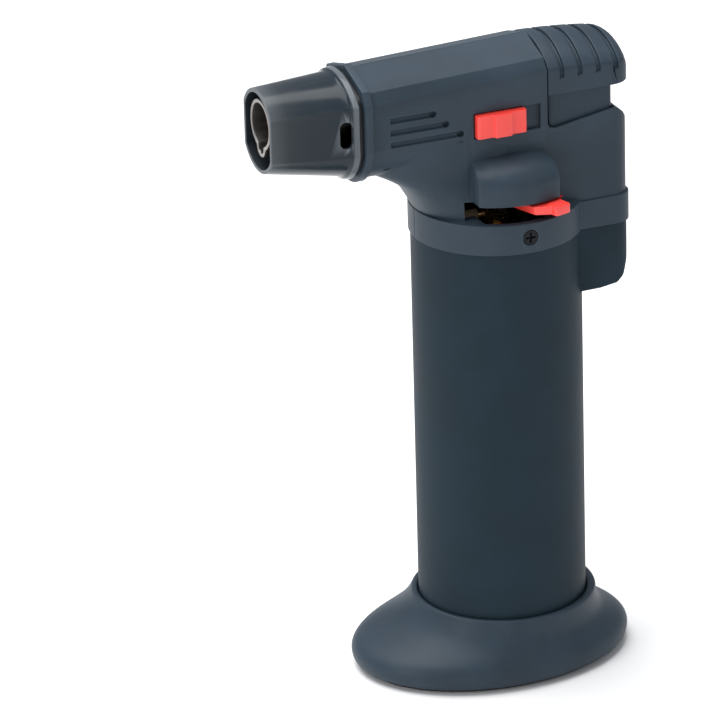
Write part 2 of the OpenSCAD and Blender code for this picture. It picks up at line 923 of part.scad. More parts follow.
module bulge_outer() {
    intersection() {
        rotate_extrude()
            polygon([
                [8, SLOT_TOP], [collar_r, SLOT_TOP], [collar_r, 126.6], [20.5, 128], [19.6, 129.5],
                [18, 130.8], [15.6, 131.9], [12.4, 132.8], [8, 133.6],
            ]);
        round_block(BULGE_LEFT, BULGE_RIGHT, 30, 110, 150, 1.5);
        along_y(-30, 30)
            rounded_2d(BULGE_LEFT, BULGE_RIGHT, 100, 134, 5);
    }
}

module rear_outer() {
    intersection() {
        round_block(-16, head_rear, side_y, handle_top, 157, 4.6);
        // side rims rising towards the rear, then rounding down to the rear face
        along_y(-side_y, side_y)
            polygon([
                [-16, 100], [head_rear, 100], [head_rear, 133.5], [29.8, 135], [29.3, 136.4], [28.4, 137.7],
                [27.2, 138.8], [SKIRT_REAR, REAR_RIM], [TRIGGER_X + 2, 137], [TRIGGER_X + 0.6, 137.2],
                [TRIGGER_X, 138.2], [TRIGGER_X, 142], [-16, 142],
            ]);
    }
}

module head_outer() {
    // lip, barrel, neck, bulges, rear and collar
    barrel(barrel_front, BODY_FRONT, -LIP_PROUD);
    barrel(BODY_FRONT, TRIGGER_X, 0);
    neck_outer();
    bulge_outer();
    rear_outer();
    translate([0, 0, handle_top])
        cylinder(r = collar_r, h = collar_top - handle_top);
    round_block(0, head_rear + 0.5, side_y + 0.4, handle_top, collar_top - 0.3, 4.4);
    // slot level, filled between the collar and the bulge
    intersection() {
        translate([0, 0, handle_top])
            cylinder(r = collar_r - 1, h = SLOT_TOP - handle_top + 1);
        round_block(BULGE_LEFT, BULGE_RIGHT, 30, 110, 150, 1);
    }
}

module head_cavity() {
    inner_y = side_y - shell;
    difference() {
        barrel(barrel_front - 1, TRIGGER_X + 2, shell + 0.2);
        block(-60, -33.8, -30, 30, 100, 134.4);
    }
    // over the spigot
    translate([0, 0, handle_top - 1])
        cylinder(r = SPIGOT_R, h = SPIGOT_TOP - handle_top + 1);
    // column down to the collar, inside the bulges and back to the igniter
    intersection() {
        translate([0, 0, SPIGOT_TOP - 1])
            cylinder(r = 17.6, h = 30);
        block(-20, 20, -inner_y, inner_y, 110, 140);
    }
    intersection() {
        translate([0, 0, SPIGOT_TOP - 1])
            cylinder(r = collar_r - shell - 0.2, h = 14);
        block(BULGE_LEFT + 1.8, BULGE_RIGHT - 1.8, -30, 30, 110, 140);
    }
    block(POCKET_X, POCKET_REAR, -inner_y + 0.4, inner_y - 0.4, handle_top - 1, 125);
    block(6, POCKET_REAR, -inner_y, inner_y, collar_top + 1, 138);
    // trigger well
    block(TRIGGER_X - 0.1, SKIRT_REAR + 0.4, -SKIRT_Y - GAP, SKIRT_Y + GAP, 129, 170);
    block(SKIRT_REAR, POCKET_REAR, -inner_y, inner_y, 120, 134);
}

// slot of the flame lever on the left side, and the room its arm sweeps inside
module lever_slot() {
    intersection() {
        translate([0, 0, collar_top])
            cylinder(r = 18.7, h = SLOT_TOP - collar_top);
        block(-13.3, BULGE_RIGHT, -30, 0, 100, 140);
    }
    intersection() {
        translate([0, 0, collar_top])
            cylinder(r = 24, h = SLOT_TOP - collar_top);
        translate([0, 0, 100])
            linear_extrude(40)
                polygon([
                    [0, 0], [40 * sin(SLOT_LEFT), -40 * cos(SLOT_LEFT)], [0, -60],
                    [40 * sin(SLOT_RIGHT), -40 * cos(SLOT_RIGHT)],
                ]);
    }
}

module louvres(side) {
    for (g = LOUVRES) {
        bar_x_at(LOUVRE_X, g[1], side * side_y, g[0], 0.6);
        translate([g[1], side * side_y, g[0]])
            rotate([90, 0, 0])
                translate([0, 0, -1.1])
                    cylinder(r = 0.75, h = 2.2);
    }
}

module bar_x_at(x0, x1, y, z, r) {
    translate([0, y, 0])
        bar_x(x0, x1, z, r);
}

module half(side) {
    intersection() {
        difference() {
            head_outer();
            head_cavity();
        }
        if (side < 0)
            block(-70, 60, -40, 0, 90, 180);
        else
            block(-70, 60, 0, 40, 90, 180);
    }
}

// screw and pivot bosses of one half, kept inside its skin
module bosses(side) {
    intersection() {
        union() {
            for (s = SCREWS)
                bar_y(s[0], s[1], 2.4, min(0, 10.8 * side), max(0, 10.8 * side));
            bar_y(PIVOT_X, PIVOT_Z, 2.2, min(4 * side, 11 * side), max(4 * side, 11 * side));
        }
        head_outer();
    }
}

module housing_left() {
    color([0.22, 0.27, 0.32])
        difference() {
            union() {
                half(-1);
                bosses(-1);
            }
            lever_slot();
            louvres(-1);
            for (s = SCREWS)
                bar_y(s[0], s[1], 1, -9, 1);
            bar_y(PIVOT_X, PIVOT_Z, 1, -9.4, 0);
            // collar screw seat
            bar_y(0, COLLAR_SCREW_Z, 0.9, -25, -10);
            bar_y(0, COLLAR_SCREW_Z, 1.9, -25, -19.4);
            // recess of the lock, and the slot in its floor
            block(LOCK_X0 - 0.3, LOCK_X1 + LOCK_TRAVEL + 0.3, -14, -side_y + LOCK_RECESS, LOCK_Z0 - 0.25,
                LOCK_Z1 + 0.25);
            block(LOCK_WEB[0] - 0.3, LOCK_WEB[1] + LOCK_TRAVEL + 0.3, -14, -8, LOCK_WEB[2] - 0.2,
                LOCK_WEB[3] + 0.2);
            block(LOCK_X0 - 0.5, LOCK_X1 + 2.9, -side_y + shell, -5, LOCK_Z0 - 1.4, LOCK_Z1 + 0.5);
        }
}

module housing_right() {
    color([0.22, 0.27, 0.32])
        difference() {
            union() {
                half(1);
                bosses(1);
            }
            louvres(1);
            for (s = SCREWS) {
                bar_y(s[0], s[1], 1.2, -1, 20);
                bar_y(s[0], s[1], 2.1, s[2], 24);
            }
            bar_y(PIVOT_X, PIVOT_Z, 1, 0, 9.4);
        }
}

// pan head screw with a cross recess, pointing along -Y from its head at y
module screw(x, z, y, length, head_r, shank_r) {
    difference() {
        union() {
            bar_y(x, z, shank_r, y - length, y);
            bar_y(x, z, head_r, y, y + 1.3);
        }
        for (turn = [0, 90])
            translate([x, y + 0.6, z])
                rotate([0, turn, 0])
                    translate([-0.7 * head_r, 0, -0.2])
                        cube([1.4 * head_r, 2, 0.4]);
    }
}

module housing_screws() {
    color([0.2, 0.2, 0.2])
        for (s = SCREWS)
            screw(s[0], s[1], s[2], 16, 2, 1);
}

module collar_screw() {
    color([0.1, 0.1, 0.11])
        mirror([0, 1, 0])
            screw(0, COLLAR_SCREW_Z, 19.4, 3.6, 1.8, 0.9);
}

stand();
stand_pad();
handle_tank();
tank_lid();
tank_lid_seal();
refill_valve();
refill_stem();
refill_spring();
refill_seal();
valve_body();
valve_seal();
valve_stem();
stem_spring();
adjust_hub();
flame_lever();
gas_tube();
jet_holder();
gas_jet();
mixing_tube();
burner_head();
flame_tube();
burner_bracket();
shield_gasket();
heat_shield();
spark_electrode();
electrode_insulator();
ignition_wire();
piezo_body();
piezo_plunger();
piezo_spring();
trigger();
rocker();
rocker_pin();
lock_slide();
lock_carrier();
housing_left();
housing_right();
housing_screws();
collar_screw();
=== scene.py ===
"""Butane hand torch, dressed for a studio: flared stand, round fuel handle, pistol head and its red controls."""

from __future__ import annotations

import json
import logging
import math
from dataclasses import dataclass, field
from enum import Enum
from typing import Callable, Iterable, Sequence

import bmesh
import bpy
from mathutils import Matrix, Vector

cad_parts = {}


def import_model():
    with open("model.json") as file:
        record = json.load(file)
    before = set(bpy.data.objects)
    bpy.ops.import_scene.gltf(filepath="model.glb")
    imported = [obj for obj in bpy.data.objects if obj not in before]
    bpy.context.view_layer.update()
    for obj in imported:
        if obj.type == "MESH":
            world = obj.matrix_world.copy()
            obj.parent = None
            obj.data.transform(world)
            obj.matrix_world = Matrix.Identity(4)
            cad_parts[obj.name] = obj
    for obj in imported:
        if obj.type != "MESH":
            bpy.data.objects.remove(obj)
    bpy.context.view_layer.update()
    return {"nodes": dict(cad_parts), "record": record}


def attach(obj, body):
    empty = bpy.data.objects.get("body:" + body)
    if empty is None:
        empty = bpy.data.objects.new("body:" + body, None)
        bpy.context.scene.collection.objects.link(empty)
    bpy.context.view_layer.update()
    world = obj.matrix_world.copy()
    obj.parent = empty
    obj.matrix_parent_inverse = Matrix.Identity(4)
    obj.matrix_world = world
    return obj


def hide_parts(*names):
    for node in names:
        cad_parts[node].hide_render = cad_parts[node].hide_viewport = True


LOG = logging.getLogger("hand_torch")
MM = 0.001
Outline = list[tuple[float, float]]
Colour = tuple[float, float, float]


class Axis(Enum):
    """The direction a piece is lofted or turned along."""

    X = 0
    Y = 1
    Z = 2


# ---------------------------------------------------------------- shader bench


class Signal:
    """A number on a shader socket, with arithmetic that adds Math nodes."""

    def __init__(self, bench: ShaderBench, socket: bpy.types.NodeSocket) -> None:
        """Keeps the bench the signal lives on and its socket."""
        self.bench = bench
        self.socket = socket

    def _math(self, operation: str, *values: Signal | float, clamp: bool = False) -> Signal:
        """Adds a Math node.

        Args:
            operation: the Math node's operation.
            values: its inputs in order, signals or plain numbers.
            clamp: whether the result is held between 0 and 1.

        Returns:
            The node's result.
        """
        made = self.bench.add("ShaderNodeMath", {"operation": operation, "use_clamp": clamp}, dict(enumerate(values)))
        return Signal(self.bench, made.outputs[0])

    def __add__(self, other: Signal | float) -> Signal:
        """Sum."""
        return self._math("ADD", self, other)

    def __radd__(self, other: float) -> Signal:
        """Sum with the number first."""
        return self._math("ADD", other, self)

    def __sub__(self, other: Signal | float) -> Signal:
        """Difference."""
        return self._math("SUBTRACT", self, other)

    def __rsub__(self, other: float) -> Signal:
        """Difference with the number first."""
        return self._math("SUBTRACT", other, self)

    def __mul__(self, other: Signal | float) -> Signal:
        """Product."""
        return self._math("MULTIPLY", self, other)

    def __rmul__(self, other: float) -> Signal:
        """Product with the number first."""
        return self._math("MULTIPLY", other, self)

    def __truediv__(self, other: Signal | float) -> Signal:
        """Quotient."""
        return self._math("DIVIDE", self, other)

    def step(self, low: float, high: float) -> Signal:
        """A soft 0 to 1 step between two levels."""
        settings = {"interpolation_type": "SMOOTHSTEP"}
        made = self.bench.add("ShaderNodeMapRange", settings, {"Value": self, "From Min": low, "From Max": high})
        return Signal(self.bench, made.outputs["Result"])


class ShaderBench:
    """One material being wired: a Principled surface and the nodes that feed it."""

    def __init__(self, name: str) -> None:
        """Starts an empty material with a Principled surface.

        Args:
            name: the material's name.
        """
        self.material = bpy.data.materials.new(name)
        self.material.use_nodes = True
        self.tree = self.material.node_tree
        self.tree.nodes.clear()
        self.surface = self.add("ShaderNodeBsdfPrincipled")
        output = self.add("ShaderNodeOutputMaterial")
        self.tree.links.new(self.surface.outputs["BSDF"], output.inputs["Surface"])
        self.place = self.add("ShaderNodeTexCoord").outputs["Object"]

    def add(self, kind: str, settings: dict | None = None, values: dict | None = None) -> bpy.types.Node:
        """Adds a node.

        Args:
            kind: the node's type name.
            settings: its own settings, set before its sockets.
            values: numbers, colours, sockets or signals for its inputs, by name or number.

        Returns:
            The node.
        """
        node = self.tree.nodes.new(kind)
        for key, value in (settings or {}).items():
            setattr(node, key, value)
        for key, value in (values or {}).items():
            if isinstance(value, Signal):
                value = value.socket
            if isinstance(value, bpy.types.NodeSocket):
                self.tree.links.new(value, node.inputs[key])
            else:
                node.inputs[key].default_value = value
        return node

    def noise(self, scale: float, detail: float = 3.0, stretch: Colour = (1, 1, 1), offset: float = 0.0) -> Signal:
        """Noise fixed to the piece.

        Args:
            scale: cells per metre.
            detail: how many finer octaves are added.
            stretch: factors on the three directions.
            offset: shift of the pattern in metres.

        Returns:
            The noise, from 0 to 1.
        """
        mapping = self.add(
            "ShaderNodeMapping", None, {"Vector": self.place, "Location": (offset,) * 3, "Scale": stretch}
        )
        made = self.add("ShaderNodeTexNoise", None, {"Vector": mapping.outputs[0], "Scale": scale, "Detail": detail})
        return Signal(self, made.outputs[0])

    def coordinate(self, axis: Axis) -> Signal:
        """One of the piece's own coordinates, in metres."""
        split = self.add("ShaderNodeSeparateXYZ", None, {0: self.place})
        return Signal(self, split.outputs[axis.value])

    def edges(self) -> Signal:
        """A mask that is 1 on sharp outer edges and 0 elsewhere: worn edges on most finishes, a painted highlight on
        the dark plating.
        """
        geometry = self.add("ShaderNodeNewGeometry")
        return Signal(self, geometry.outputs["Pointiness"]).step(0.505, 0.56)

    def blend(self, factor: Signal | float, first: object, second: object) -> bpy.types.NodeSocket:
        """A colour mix.

        Args:
            factor: 0 gives the first colour and 1 the second.
            first: a colour or a socket.
            second: a colour or a socket.

        Returns:
            The mixed colour's socket.
        """
        values = {0: factor, 6: _opaque(first), 7: _opaque(second)}
        return self.add("ShaderNodeMix", {"data_type": "RGBA"}, values).outputs[2]

    def relief(self, height: Signal, depth: float, strength: float = 1.0) -> None:
        """Feeds the surface's normal from a height.

        Args:
            height: the relief, from 0 to 1.
            depth: its full depth in millimetres.
            strength: how much of it shows.
        """
        values = {"Height": height, "Distance": depth * MM, "Strength": strength}
        bump = self.add("ShaderNodeBump", None, values)
        self.tree.links.new(bump.outputs[0], self.surface.inputs["Normal"])

    def dress(self, **values: object) -> None:
        """Sets or links the surface's sockets, their names written with _ for spaces."""
        for key, value in values.items():
            socket = self.surface.inputs[key.replace("_", " ")]
            if isinstance(value, Signal):
                value = value.socket
            if isinstance(value, bpy.types.NodeSocket):
                self.tree.links.new(value, socket)
            else:
                socket.default_value = value


def _opaque(colour: object) -> object:
    """A colour triple with full alpha; a socket or signal comes back as it is."""
    return (*colour, 1.0) if isinstance(colour, tuple) and len(colour) == 3 else colour


# ---------------------------------------------------------------- finishes


@dataclass(frozen=True)
class MouldedPlastic:
    """Matt or satin injection-moulded plastic with a fine spark-eroded grain."""

    name: str
    colour: Colour
    roughness: float = 0.5
    grain: float = 0.02
    grain_scale: float = 2600.0
    mottle: float = 0.12
    wear: float = 0.25
    specular: float = 0.45
    coat: float = 0.0

    def make(self) -> bpy.types.Material:
        """Builds the material.

        Returns:
            The finished material.
        """
        bench = ShaderBench(self.name)
        cloudy = bench.noise(70, 4)
        fine = bench.noise(self.grain_scale, 2)
        coarse = bench.noise(self.grain_scale / 3.3, 3, offset=0.37)
        dark = tuple(c * (1 - self.mottle) for c in self.colour)
        light = tuple(min(1.0, c * (1 + self.mottle)) for c in self.colour)
        worn = tuple(min(1.0, c * 1.45 + 0.012) for c in self.colour)
        skin = bench.blend(cloudy.step(0.3, 0.7), dark, light)
        skin = bench.blend(fine.step(0.55, 0.8) * 0.25, skin, worn)
        skin = bench.blend(bench.edges() * self.wear, skin, worn)
        rough = self.roughness + (cloudy - 0.5) * 0.16 + (fine - 0.5) * 0.12
        bench.dress(Base_Color=skin, Roughness=rough, Specular_IOR_Level=self.specular, Coat_Weight=self.coat)
        bench.dress(Coat_Roughness=0.12)
        bench.relief(fine * 0.6 + coarse * 0.4, self.grain)
        return bench.material


@dataclass(frozen=True)
class DarkPlating:
    """Polished black plating over sheet metal, with a faint haze, a heat bloom towards the mouth and a painted
    highlight on its sharp edges and roof crease.
    """

    name: str
    colour: Colour = (0.018, 0.026, 0.034)
    bloom: Colour = (0.026, 0.031, 0.036)
    front: float = -59.6
    rear: float = -46.0

    def make(self) -> bpy.types.Material:
        """Builds the material.

        Returns:
            The finished material.
        """
        bench = ShaderBench(self.name)
        haze = bench.noise(160, 4)
        streaks = bench.noise(420, 3, (0.08, 1, 1))
        heat = 1 - bench.coordinate(Axis.X).step(self.front * MM, self.rear * MM)
        tint = bench.blend(heat * 0.7, self.colour, self.bloom)
        tint = bench.blend(streaks.step(0.5, 0.75) * 0.12, tint, (0.06, 0.065, 0.07))
        # Painted highlight: the sharp edges, the roof crease most of all, are lightened to stand in for the bright
        # line of light along them.
        tint = bench.blend(bench.edges() * 0.75, tint, (0.2, 0.225, 0.245))
        rough = 0.15 + haze.step(0.4, 0.75) * 0.06 + streaks.step(0.55, 0.8) * 0.04 + heat * 0.04
        bench.dress(Base_Color=tint, Roughness=rough, Metallic=0.0, Specular_IOR_Level=0.15)
        bench.relief(haze * 0.7 + streaks * 0.3, 0.012)
        return bench.material


@dataclass(frozen=True)
class WorkedMetal:
    """Bare metal with turning or drawing lines, light tarnish and optional heat colours."""

    name: str
    colour: Colour
    tarnish: Colour
    roughness: float = 0.28
    stretch: Colour = (1, 1, 1)
    line_scale: float = 900.0
    heat: bool = False

    def make(self) -> bpy.types.Material:
        """Builds the material.

        Returns:
            The finished material.
        """
        bench = ShaderBench(self.name)
        cloudy = bench.noise(120, 4)
        lines = bench.noise(self.line_scale, 2, self.stretch)
        skin = bench.blend(cloudy.step(0.42, 0.72) * 0.6, self.colour, self.tarnish)
        if self.heat:
            along = bench.coordinate(Axis.X) + (cloudy - 0.5) * 0.006
            skin = bench.blend((1 - along.step(-0.058, -0.05)) * 0.55, skin, (0.13, 0.12, 0.125))
            skin = bench.blend((1 - along.step(-0.0595, -0.056)) * 0.5, skin, (0.36, 0.33, 0.3))
        skin = bench.blend(bench.edges() * 0.3, skin, tuple(min(1.0, c * 1.3) for c in self.colour))
        rough = self.roughness + (lines - 0.5) * 0.18 + cloudy.step(0.4, 0.8) * 0.12
        bench.dress(Base_Color=skin, Metallic=1.0, Roughness=rough)
        bench.relief(lines, 0.006)
        return bench.material


@dataclass(frozen=True)
class SoftCompound:
    """Rubber or silicone with a dusty bloom."""

    name: str
    colour: Colour
    dust: Colour
    roughness: float = 0.75

    def make(self) -> bpy.types.Material:
        """Builds the material.

        Returns:
            The finished material.
        """
        bench = ShaderBench(self.name)
        cloudy = bench.noise(140, 5)
        pores = bench.noise(1900, 2)
        skin = bench.blend(cloudy.step(0.45, 0.8) * 0.45, self.colour, self.dust)
        skin = bench.blend(bench.edges() * 0.3, skin, self.dust)
        bench.dress(Base_Color=skin, Roughness=self.roughness + (cloudy - 0.5) * 0.15, Specular_IOR_Level=0.35)
        bench.relief(pores, 0.03)
        return bench.material


@dataclass(frozen=True)
class StudioFloor:
    """Seamless pale paper under the object."""

    name: str = "pale_paper"
    colour: Colour = (0.93, 0.93, 0.93)

    def make(self) -> bpy.types.Material:
        """Builds the material.

        Returns:
            The finished material.
        """
        bench = ShaderBench(self.name)
        fibre = bench.noise(35, 4)
        shade = tuple(c * 0.985 for c in self.colour)
        bench.dress(Base_Color=bench.blend(fibre, shade, self.colour), Roughness=0.9, Specular_IOR_Level=0.2)
        return bench.material


FINISHES = {
    "dark_plastic": MouldedPlastic("head_plastic", (0.026, 0.041, 0.057), roughness=0.46, specular=0.2),
    "handle_plastic": MouldedPlastic("handle_plastic", (0.012, 0.024, 0.034), roughness=0.55, specular=0.1),
    "rubber_sole": SoftCompound("rubber_sole", (0.02, 0.02, 0.022), (0.07, 0.07, 0.07), 0.85),
    "natural_plastic": MouldedPlastic("natural_plastic", (0.66, 0.64, 0.56), 0.42, mottle=0.04, wear=0.1),
    "seal_rubber": SoftCompound("seal_rubber", (0.015, 0.015, 0.015), (0.05, 0.05, 0.05), 0.6),
    "brass": WorkedMetal("turned_brass", (0.72, 0.52, 0.22), (0.42, 0.28, 0.12), 0.26, (1, 1, 6)),
    "steel": WorkedMetal("turned_steel", (0.6, 0.6, 0.61), (0.38, 0.37, 0.36), 0.24, (1, 1, 6)),
    "spring_steel": WorkedMetal("spring_wire", (0.66, 0.66, 0.68), (0.42, 0.42, 0.43), 0.2, (3, 3, 3)),
    "red_plastic": MouldedPlastic(
        "signal_red", (0.92, 0.055, 0.042), 0.34, grain=0.006, mottle=0.05, wear=0.12, specular=0.5, coat=0.15
    ),
    "hose": SoftCompound("gas_hose", (0.5, 0.4, 0.24), (0.6, 0.52, 0.38), 0.4),
    "heat_steel": WorkedMetal("heated_steel", (0.22, 0.215, 0.21), (0.12, 0.11, 0.105), 0.36, (0.2, 1, 1), heat=True),
    "black_plastic": MouldedPlastic("gasket_black", (0.008, 0.009, 0.011), 0.5, wear=0.1),
    "black_chrome": DarkPlating("dark_plating"),
    "ceramic": MouldedPlastic("fired_ceramic", (0.82, 0.8, 0.73), 0.5, grain=0.015, mottle=0.05, wear=0.05),
    "wire_jacket": SoftCompound("wire_jacket", (0.42, 0.025, 0.025), (0.5, 0.12, 0.1), 0.45),
    "black_steel": WorkedMetal("black_steel", (0.018, 0.019, 0.022), (0.01, 0.01, 0.01), 0.38, (1, 4, 1)),
}


# ---------------------------------------------------------------- modelling bench


class Workpiece:
    """A mesh piece on the bench, shaped by edit-mode steps; all sizes are in millimetres."""

    def __init__(self, obj: bpy.types.Object, name: str) -> None:
        """Takes an object on the bench.

        Args:
            obj: the object, its place in its mesh.
            name: the piece's name.
        """
        self.obj = obj
        obj.name = name
        obj.data.name = name
        self.ring: list[int] = []

    # -- starts

    @staticmethod
    def _clear() -> None:
        """Leaves object mode active with nothing selected."""
        if bpy.context.mode != "OBJECT":
            bpy.ops.object.mode_set(mode="OBJECT")
        bpy.ops.object.select_all(action="DESELECT")

    @classmethod
    def copy_of(cls, node: bpy.types.Object, name: str) -> Workpiece:
        """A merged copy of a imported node, its flat faces joined again.

        Args:
            node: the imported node.
            name: the new piece's name.

        Returns:
            The piece.
        """
        cls._clear()
        obj = bpy.data.objects.new(name, node.data.copy())
        bpy.context.scene.collection.objects.link(obj)
        piece = cls(obj, name)
        piece.edit()
        bpy.ops.mesh.select_all(action="SELECT")
        bpy.ops.mesh.remove_doubles(threshold=0.002 * MM)
        bpy.ops.mesh.customdata_custom_splitnormals_clear()
        bpy.ops.mesh.dissolve_limited(angle_limit=math.radians(0.6), delimit=set())
        piece.close()
        return piece

    @classmethod
    def ring_of(cls, name: str, points: Sequence[Vector]) -> Workpiece:
        """An open ring with its vertices at the points, as the first station of a loft.

        Args:
            name: the piece's name.
            points: the ring's points in millimetres.

        Returns:
            The piece, in edit mode with its ring selected.
        """
        cls._clear()
        bpy.ops.mesh.primitive_circle_add(vertices=len(points), radius=MM)
        piece = cls(bpy.context.object, name)
        piece.edit()
        bpy.ops.mesh.select_all(action="SELECT")
        mesh = piece.mesh()
        mesh.verts.ensure_lookup_table()
        order = [v.index for v in mesh.verts]
        piece.ring = order
        piece._place(points)
        return piece

    @classmethod
    def block(cls, name: str, low: Sequence[float], high: Sequence[float]) -> Workpiece:
        """A box between two corners."""
        cls._clear()
        centre = [(a + b) / 2 * MM for a, b in zip(low, high)]
        size = [(b - a) * MM for a, b in zip(low, high)]
        bpy.ops.mesh.primitive_cube_add(size=1, location=centre, scale=size)
        piece = cls(bpy.context.object, name)
        bpy.ops.object.transform_apply(location=True, rotation=True, scale=True)
        return piece

    # -- edit mode

    def edit(self) -> None:
        """Opens the piece in edit mode."""
        self._clear()
        bpy.context.view_layer.objects.active = self.obj
        self.obj.select_set(True)
        bpy.ops.object.mode_set(mode="EDIT")

    def close(self) -> None:
        """Goes back to object mode with the piece active and selected."""
        if bpy.context.mode != "OBJECT":
            bpy.ops.object.mode_set(mode="OBJECT")
        bpy.ops.object.select_all(action="DESELECT")
        bpy.context.view_layer.objects.active = self.obj
        self.obj.select_set(True)

    def mesh(self) -> bmesh.types.BMesh:
        """The open edit mesh."""
        return bmesh.from_edit_mesh(self.obj.data)

    def pick_faces(self, test: Callable[[Vector, Vector], bool]) -> int:
        """Selects the faces that pass a test.

        Args:
            test: given a face's centre in millimetres and its normal.

        Returns:
            How many faces are selected.
        """
        bpy.ops.mesh.select_mode(type="FACE")
        bpy.ops.mesh.select_all(action="DESELECT")
        mesh = self.mesh()
        count = 0
        for face in mesh.faces:
            if test(face.calc_center_median() / MM, face.normal):
                face.select_set(True)
                count += 1
        bmesh.update_edit_mesh(self.obj.data)
        return count

    def pick_edges(self, test: Callable[[Vector, Vector, float], bool]) -> int:
        """Selects the edges that pass a test.

        Args:
            test: given an edge's two ends in millimetres and the angle between its faces in degrees.

        Returns:
            How many edges are selected.
        """
        bpy.ops.mesh.select_mode(type="EDGE")
        bpy.ops.mesh.select_all(action="DESELECT")
        mesh = self.mesh()
        count = 0
        for edge in mesh.edges:
            angle = math.degrees(edge.calc_face_angle(0.0))
            if test(edge.verts[0].co / MM, edge.verts[1].co / MM, angle):
                edge.select_set(True)
                count += 1
        bmesh.update_edit_mesh(self.obj.data)
        return count

    def _place(self, points: Sequence[Vector]) -> None:
        """Moves the current ring's vertices to the points."""
        mesh = self.mesh()
        mesh.verts.ensure_lookup_table()
        for index, point in zip(self.ring, points):
            mesh.verts[index].co = Vector(point) * MM
        bmesh.update_edit_mesh(self.obj.data)

    def station(self, points: Sequence[Vector]) -> None:
        """Extrudes the current ring to the next station of the loft.

        Args:
            points: the new ring's points in millimetres, as many as the ring has.
        """
        bpy.ops.mesh.extrude_edges_move()
        mesh = self.mesh()
        mesh.verts.ensure_lookup_table()
        fresh = {v.index for v in mesh.verts if v.select}
        ring = []
        for index in self.ring:
            others = [e.other_vert(mesh.verts[index]).index for e in mesh.verts[index].link_edges]
            ring.append(next(i for i in others if i in fresh))
        self.ring = ring
        self._place(points)

    def cap(self) -> None:
        """Closes the selected ring with one face."""
        bpy.ops.mesh.edge_face_add()

    def join_ends(self) -> None:
        """Bridges the loft's last ring back to its first."""
        bpy.ops.mesh.select_mode(type="EDGE")
        bpy.ops.mesh.select_all(action="DESELECT")
        for edge in self.mesh().edges:
            if edge.is_boundary:
                edge.select_set(True)
        bmesh.update_edit_mesh(self.obj.data)
        bpy.ops.mesh.bridge_edge_loops()

    def cap_start(self, test: Callable[[Vector], bool]) -> None:
        """Closes the open ring whose vertices pass a test."""
        bpy.ops.mesh.select_mode(type="VERT")
        bpy.ops.mesh.select_all(action="DESELECT")
        for vert in self.mesh().verts:
            if vert.is_boundary and test(vert.co / MM):
                vert.select_set(True)
        bmesh.update_edit_mesh(self.obj.data)
        bpy.ops.mesh.edge_face_add()

    def outward(self) -> None:
        """Turns every face outwards."""
        bpy.ops.mesh.select_mode(type="FACE")
        bpy.ops.mesh.select_all(action="SELECT")
        bpy.ops.mesh.normals_make_consistent(inside=False)

    # -- modifiers

    def modify(self, kind: str, **settings: object) -> None:
        """Adds a modifier and applies it.

        Args:
            kind: the modifier's type.
            settings: its settings, lengths in metres.
        """
        self.close()
        made = self.obj.modifiers.new(kind.title(), kind)
        for key, value in settings.items():
            setattr(made, key, value)
        bpy.ops.object.modifier_apply(modifier=made.name)

    def subdivide(self, levels: int) -> None:
        """Smooths the cage with Subdivision Surface."""
        self.modify("SUBSURF", levels=levels, render_levels=levels)

    def soften(self, width: float, segments: int = 2, angle: float = 30.0) -> None:
        """Rounds the sharp edges.

        Args:
            width: the rounding's width in millimetres.
            segments: how many faces go round it.
            angle: edges sharper than this are rounded, in degrees.
        """
        self.modify(
            "BEVEL",
            width=width * MM,
            segments=segments,
            limit_method="ANGLE",
            angle_limit=math.radians(angle),
            use_clamp_overlap=False,
            harden_normals=False,
        )

    def cut(self, tools: Iterable[Workpiece]) -> None:
        """Cuts the tools' shapes out of the piece and throws the tools away."""
        for tool in tools:
            self.modify("BOOLEAN", operation="DIFFERENCE", solver="EXACT", object=tool.obj)
            bpy.data.objects.remove(tool.obj)

    def smooth(self, angle: float = 35.0) -> None:
        """Shades the piece smooth up to an angle, the large faces leading."""
        self.close()
        bpy.ops.object.shade_smooth_by_angle(angle=math.radians(angle))
        self.modify("WEIGHTED_NORMAL", mode="FACE_AREA_WITH_ANGLE", weight=50, keep_sharp=True)

    def finish(self, look: bpy.types.Material) -> bpy.types.Object:
        """Dresses the piece in one material.

        Args:
            look: the material.

        Returns:
            The finished object.
        """
        self.close()
        self.obj.data.materials.clear()
        self.obj.data.materials.append(look)
        for polygon in self.obj.data.polygons:
            polygon.material_index = 0
        LOG.info("%s: %d faces", self.obj.name, len(self.obj.data.polygons))
        return self.obj


def rounded_outline(corners: Sequence[tuple[float, float, float]], steps: int = 6) -> Outline:
    """A closed outline with its corners rounded.

    Args:
        corners: each corner's two coordinates and radius, in order.
        steps: points on each rounding beyond the first.

    Returns:
        The outline, with steps + 1 points for every rounded corner and one for every sharp one.
    """
    points: Outline = []
    count = len(corners)
    for k, (a, b, radius) in enumerate(corners):
        here = Vector((a, b))
        if not radius:
            points.append((a, b))
            continue
        before = (Vector(corners[k - 1][:2]) - here).normalized()
        after = (Vector(corners[(k + 1) % count][:2]) - here).normalized()
        half = math.acos(max(-1.0, min(1.0, before.dot(after)))) / 2
        reach = radius / math.tan(half)
        start, end = here + before * reach, here + after * reach
        middle = here + (before + after).normalized() * (radius / math.sin(half))
        for i in range(steps + 1):
            spoke = (start.lerp(end, i / steps) - middle).normalized()
            points.append(tuple(middle + spoke * radius))
    return points


# ---------------------------------------------------------------- sub-assemblies


